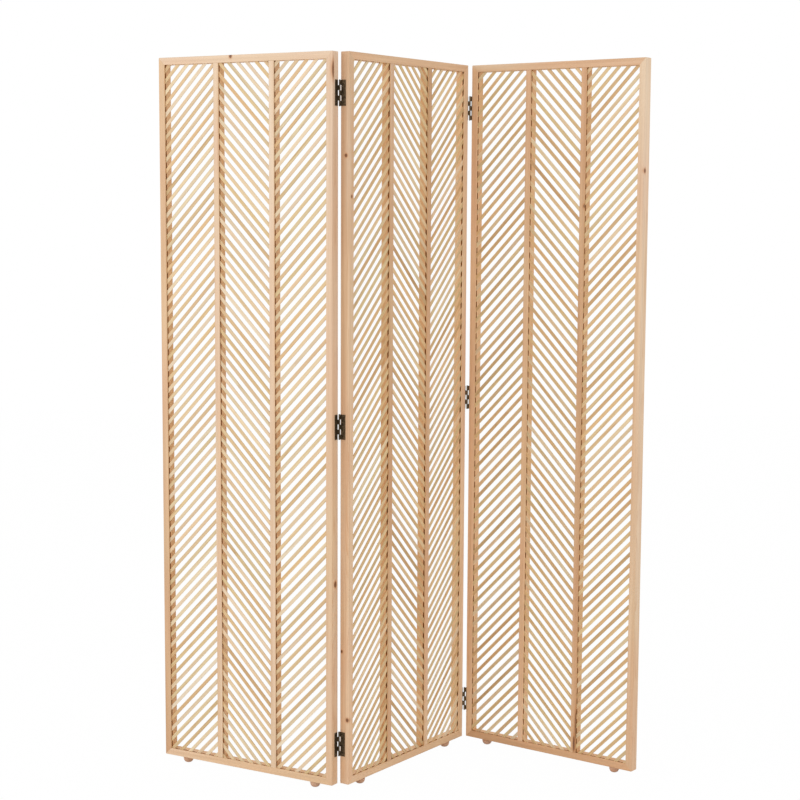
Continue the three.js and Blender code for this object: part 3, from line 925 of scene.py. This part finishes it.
def build_feet(side, chance):
    """A panel's two feet, with their grain lying along the panel."""
    left_inset, right_inset = FOOT_INSETS[side]
    for place, x in (("left", left_inset), ("right", PANEL_WIDTH - right_inset)):
        node = f"{side}_panel_{place}_foot"
        points, faces = plain_mesh(turned(foot_profile(), FOOT_SIDES))
        start = log_place(FOOT_LOGS[side], chance)
        grain = [start + Vector((p.y, p.z, p.x)) for p in points]
        matrix = PANELS[side] @ Matrix.Translation((x, FRAME_DEPTH / 2, 0))
        piece = add_piece(
            f"{node}_turned", points, faces, matrix, FOOT_WOOD, "foot_wood", node,
            {"grain": grain, "tint": [FOOT_TONE] * len(points)},
        )
        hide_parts(node)


# ---------- hinges ----------
# A leaf is drawn with the pin on the Z axis and its own panel on the +X side, behind -Y.

BARREL_SIDES = 32
ROUND_SIDES = 24  # of bores, pins and screws
STRAP_STEPS = 8

# The strap's inner end in the barrel and its fillet to the plate: shares of the barrel's radius,
# and millimetres from the leaf's front.
STRAP_END = 0.95
STRAP_UNDERSIDE = (0.5, -0.866)
FILLET_TOP = 0.9
FILLET_WIDTH = 0.25
FILLET_HEIGHT = 0.3


def plate_start(joint):
    """Where a plate begins: behind the panel's face, and clear of the other leaf's knuckles."""
    reach = BARREL_DIAMETER / 2 + KNUCKLE_GAP
    clear = math.sqrt(max(0, reach ** 2 - LEAF_FRONT ** 2))
    return -max(joint["pin_proud"] + joint["notch"], clear)


def plate_edge(joint):
    """Where a plate ends, away from the pin."""
    return -joint["pin_proud"] - LEAF_WIDTH


def strap_outline(joint):
    """The strap that rolls from the plate round to the barrel, as an outline across the pin."""
    radius = BARREL_DIAMETER / 2
    lap = plate_start(joint) - STRAP_LAP
    bend = -joint["pin_proud"] / 2
    outline = [(LEAF_FRONT, lap), (LEAF_SEAT, lap)]
    for step in range(STRAP_STEPS + 1):
        angle = math.pi / 2 * step / STRAP_STEPS
        outline.append((LEAF_SEAT * math.cos(angle), bend + (radius - bend) * math.sin(angle)))
    outline[-1] = (0, radius * STRAP_END)
    outline += [(0, -radius * STRAP_END), tuple(radius * share for share in STRAP_UNDERSIDE)]
    outline += [(LEAF_FRONT - FILLET_WIDTH, -radius * FILLET_TOP)]
    return outline + [(LEAF_FRONT, -radius - FILLET_HEIGHT)]


def box_mesh(low, high, ease=0):
    """A box between two corners, with its edges eased."""
    bm = bmesh.new()
    bmesh.ops.create_cube(bm, size=1)
    for vert in bm.verts:
        vert.co = Vector(
            (a + b) / 2 + value * (b - a) for value, a, b in zip(vert.co, low, high)
        )
    if ease:
        bmesh.ops.bevel(
            bm, geom=bm.edges[:], offset=ease, segments=2, profile=0.5, affect="EDGES",
        )
    return bm


def temporary(bm):
    """An object for joining and cutting, which is removed afterwards."""
    bmesh.ops.recalc_face_normals(bm, faces=bm.faces)
    mesh = bpy.data.meshes.new("temporary")
    bm.to_mesh(mesh)
    bm.free()
    made = bpy.data.objects.new("temporary", mesh)
    bpy.context.scene.collection.objects.link(made)
    return made


def combine(base, tools, operation):
    """Joins the tools to the base, or cuts them from it, and removes them."""
    for tool in tools:
        modifier = base.modifiers.new("combine", "BOOLEAN")
        modifier.operation = operation
        modifier.solver = "EXACT"
        modifier.object = tool
    graph = bpy.context.evaluated_depsgraph_get()
    result = bpy.data.meshes.new_from_object(base.evaluated_get(graph))
    base.modifiers.clear()
    base.data = result
    for tool in tools:
        bpy.data.objects.remove(tool)
    return base


def mesh_lists(made):
    """The vertices and faces of a temporary object, which is removed."""
    bm = bmesh.new()
    bm.from_mesh(made.data)
    bpy.data.objects.remove(made)
    return plain_mesh(bm)


def knuckle_spans(on_right_leaf):
    """The bottom and top of each knuckle of a leaf. The right leaf has the two outermost ones."""
    last = KNUCKLE_COUNT - 1
    for knuckle in range(0 if on_right_leaf else 1, KNUCKLE_COUNT, 2):
        bottom = -HINGE_HEIGHT / 2 + knuckle * KNUCKLE_HEIGHT
        low = bottom + (KNUCKLE_GAP / 2 if knuckle > 0 else 0)
        high = bottom + KNUCKLE_HEIGHT - (KNUCKLE_GAP / 2 if knuckle < last else 0)
        yield low, high


def barrel(low, high):
    """One knuckle, before its bore is cut."""
    radius = BARREL_DIAMETER / 2
    ease = LEAF_EASE
    profile = [(0, low), (radius - ease, low), (radius, low + ease)]
    profile += [(radius, high - ease), (radius - ease, high), (0, high)]
    return turned(profile, BARREL_SIDES)


def screw_places(joint):
    """From a screw's own frame, head up along Z at its seat, to the leaf's frame."""
    middle = (plate_edge(joint) + plate_start(joint)) / 2
    to_leaf = Matrix.Rotation(-math.pi / 2, 4, "Y")
    for i in (-1, 0, 1):
        yield Matrix.Translation((LEAF_FRONT, middle, i * SCREW_SPACING)) @ to_leaf


def countersink():
    """What a screw's hole takes from the leaf."""
    head = SCREW_HEAD_DIAMETER / 2 + SINK_CLEARANCE
    shank = SCREW_SHANK_DIAMETER / 2 + SINK_CLEARANCE
    profile = [(0, SINK_RISE), (head + SINK_RISE, SINK_RISE), (head, 0)]
    profile += [(shank, -SCREW_CONE_DEPTH), (shank, -SINK_DEPTH), (0, -SINK_DEPTH)]
    return turned(profile, ROUND_SIDES)


def bore():
    """What the pin's bore takes from the knuckles."""
    end = HINGE_HEIGHT / 2 + BORE_OVERRUN
    radius = BORE_DIAMETER / 2
    return turned([(0, -end), (radius, -end), (radius, end), (0, end)], ROUND_SIDES)


def leaf_mesh(on_right_leaf, joint):
    """A leaf's plate with its straps and knuckles, bored for the pin and sunk for the screws."""
    half = HINGE_HEIGHT / 2
    plate_low = (LEAF_FRONT, plate_edge(joint), -half)
    plate_high = (LEAF_SEAT, plate_start(joint), half)
    plate = box_mesh(plate_low, plate_high, LEAF_EASE)
    strap = strap_outline(joint)
    additions = []
    for low, high in knuckle_spans(on_right_leaf):
        strap_low, strap_high = low + STRAP_TRIM, high - STRAP_TRIM
        rolled = prism(strap, lambda p: (*p, strap_low), lambda p: (*p, strap_high))
        additions += [temporary(rolled), temporary(barrel(low, high))]
    cuts = [temporary(bore())]
    for place in screw_places(joint):
        sink = countersink()
        sink.transform(place)
        cuts.append(temporary(sink))
    leaf = combine(temporary(plate), additions, "UNION")
    return mesh_lists(combine(leaf, cuts, "DIFFERENCE"))


def screw_mesh():
    """A countersunk screw with a cross recess; its head is flush with the leaf."""
    head, shank = SCREW_HEAD_DIAMETER / 2, SCREW_SHANK_DIAMETER / 2
    rim_width, rim_drop = SCREW_RIM
    profile = [(0, -SCREW_HEAD_DROP), (head - rim_width, -SCREW_HEAD_DROP), (head, -rim_drop)]
    profile += [(shank, -SCREW_CONE_DEPTH), (shank, -SCREW_LENGTH), (0, -SCREW_LENGTH)]
    body = temporary(turned(profile, ROUND_SIDES))
    cuts = []
    for turn in (0, math.pi / 2):
        arm = box_mesh(RECESS_LOW, RECESS_HIGH)
        for vert in arm.verts:
            if vert.co.z < 0:
                vert.co.x *= RECESS_TAPER
        arm.transform(Matrix.Rotation(turn + SCREW_TURN, 4, "Z"))
        cuts.append(temporary(arm))
    return mesh_lists(combine(body, cuts, "DIFFERENCE"))


def pin_mesh():
    """A pin with a shallow domed head at each end."""
    seat = HINGE_HEIGHT / 2 + KNUCKLE_GAP
    end = seat + PIN_HEAD_HEIGHT
    shaft, head = PIN_DIAMETER / 2, PIN_HEAD_DIAMETER / 2
    half = [(0, end)] + [(head * share, end - drop) for share, drop in PIN_HEAD_DOME]
    half += [(head, seat), (shaft, seat)]
    return plain_mesh(turned([(r, -z) for r, z in half] + half[::-1], ROUND_SIDES))


def screws_mesh(joint, screw):
    """A leaf's three screws as one mesh, in the leaf's frame."""
    screw_points, screw_faces = screw
    points, faces = [], []
    for place in screw_places(joint):
        append_mesh(points, faces, [place @ p for p in screw_points], screw_faces)
    return points, faces


def build_hinges(name, joint, screw, pin):
    """The three hinges of a joint, each with two leaves, their screws and a pin."""
    leaves = {"left": leaf_mesh(False, joint), "right": leaf_mesh(True, joint)}
    screws = screws_mesh(joint, screw)
    for hand, panel, x in zip(leaves, joint["panels"], (PAST_RIGHT_EDGE, BEFORE_LEFT_EDGE)):
        axis, angle = joint["turns"][hand]
        for place, z in joint["heights"].items():
            node = f"{name}_{place}_hinge_{hand}_leaf"
            at_pin = PANELS[panel] @ Matrix.Translation((x, joint["pin_y"], z))
            matrix = at_pin @ Matrix.Rotation(angle, 4, axis)
            leaf = add_piece(f"{node}_plate", *leaves[hand], matrix, BRONZE, "bronze", node)
            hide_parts(node)
            add_piece(f"{node}_screws", *screws, matrix, BRONZE, "bronze", node)
            if hand == "right":
                node = f"{name}_{place}_hinge_pin"
                piece = add_piece(f"{node}_rod", *pin, at_pin, BRONZE, "bronze", node)
                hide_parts(node)


# ---------- build ----------

for number, side in enumerate(PANELS):
    build_members(side)
    for bay, place in enumerate(BAY_PLACES):
        build_slats(side, bay, place, random.Random(SEEDS_PER_PANEL * number + bay))
    build_feet(side, random.Random(FOOT_SEED + number))
screw, pin = screw_mesh(), pin_mesh()
for joint_name, joint in JOINTS.items():
    build_hinges(joint_name, joint, screw, pin)

# ---------- floor, light and camera, in metres, watts and degrees ----------

WHITE = (1, 1, 1, 1)
FLOOR_GREY = (0.92, 0.92, 0.92, 1)
FLOOR_REACH = 8  # each way from the origin
FLOOR_GLOW = 0.985  # share of white in the floor as it is seen directly
ROOM_STRENGTH = 0.89

LAMP_AIM = (0, 0, 1)
LAMPS = {  # place, side and power
    "key": ((-4.2, -2.0, 2.2), 3, 45),
    "fill": ((3.4, -2.8, 2.4), 2.4, 10),
}

CAMERA_PLACE = (0.06352, -4.6054, 1.44559)
CAMERA_YAW = 0.0291
CAMERA_PITCH = -6.8903
CAMERA_ROLL = 0.3936
CAMERA_SENSOR = 36  # millimetres
CAMERA_LENS = 82.188  # millimetres
CAMERA_SHIFT = (-0.03284, 0.03032)


def seen_directly(g):
    """1 for the camera and for mirror and glass rays, 0 for the light that falls on things."""
    path = g.add("ShaderNodeLightPath")
    direct = g.math("MAXIMUM", path.outputs["Is Camera Ray"], path.outputs["Is Glossy Ray"])
    return g.math("MAXIMUM", direct, path.outputs["Is Transmission Ray"])


def build_floor():
    """A pale floor that takes the shadow and is all but white where it is seen directly."""
    material, g = new_material("floor")
    direct = g.math("MULTIPLY", seen_directly(g), FLOOR_GLOW)
    pale = g.add("ShaderNodeBsdfDiffuse", {"Color": FLOOR_GREY}).outputs[0]
    white = g.add("ShaderNodeEmission", {"Color": WHITE, "Strength": 1.0}).outputs[0]
    g.surface(g.add("ShaderNodeMixShader", {0: direct, 1: pale, 2: white}).outputs[0])
    bm = bmesh.new()
    bmesh.ops.create_grid(bm, x_segments=1, y_segments=1, size=FLOOR_REACH)
    mesh = bpy.data.meshes.new("floor")
    bm.to_mesh(mesh)
    bm.free()
    mesh.materials.append(material)
    floor = bpy.data.objects.new("floor", mesh)
    bpy.context.scene.collection.objects.link(floor)


def build_world():
    """Even light from all round, and a white background."""
    world = bpy.data.worlds.new("studio")
    world.use_nodes = True
    bpy.context.scene.world = world
    g = Graph(world.node_tree)
    room = g.add("ShaderNodeBackground", {"Color": WHITE, "Strength": ROOM_STRENGTH}).outputs[0]
    white = g.add("ShaderNodeBackground", {"Color": WHITE, "Strength": 1.0}).outputs[0]
    mixed = g.add("ShaderNodeMixShader", {0: seen_directly(g), 1: room, 2: white}).outputs[0]
    g.add("ShaderNodeOutputWorld", {"Surface": mixed})


def add_lamp(name, place, size, power):
    """A square lamp that faces the middle of the divider."""
    lamp = bpy.data.lights.new(name, "AREA")
    lamp.shape = "SQUARE"
    lamp.size = size
    lamp.energy = power
    lamp_object = bpy.data.objects.new(name, lamp)
    lamp_object.location = place
    towards = Vector(LAMP_AIM) - Vector(place)
    lamp_object.rotation_euler = towards.to_track_quat("-Z", "Y").to_euler()
    bpy.context.scene.collection.objects.link(lamp_object)


def build_camera():
    """The view from in front and above the middle, looking slightly down."""
    yaw, pitch, roll = map(math.radians, (CAMERA_YAW, CAMERA_PITCH, CAMERA_ROLL))
    ahead = math.cos(pitch)
    forward = Vector((math.sin(yaw) * ahead, math.cos(yaw) * ahead, math.sin(pitch)))
    level_right = Vector((math.cos(yaw), -math.sin(yaw), 0))
    level_up = level_right.cross(forward)
    right = math.cos(roll) * level_right + math.sin(roll) * level_up
    up = -math.sin(roll) * level_right + math.cos(roll) * level_up
    camera = bpy.data.cameras.new("camera")
    camera.sensor_width = CAMERA_SENSOR
    camera.lens = CAMERA_LENS
    camera.shift_x, camera.shift_y = CAMERA_SHIFT
    camera_object = bpy.data.objects.new("camera", camera)
    axes = Matrix((right, up, -forward)).transposed().to_4x4()
    camera_object.matrix_world = Matrix.Translation(CAMERA_PLACE) @ axes
    bpy.context.scene.collection.objects.link(camera_object)
    bpy.context.scene.camera = camera_object


build_floor()
build_world()
for lamp_name, (lamp_place, lamp_size, lamp_power) in LAMPS.items():
    add_lamp(lamp_name, lamp_place, lamp_size, lamp_power)
build_camera()
bpy.context.scene.view_settings.view_transform = "Standard"

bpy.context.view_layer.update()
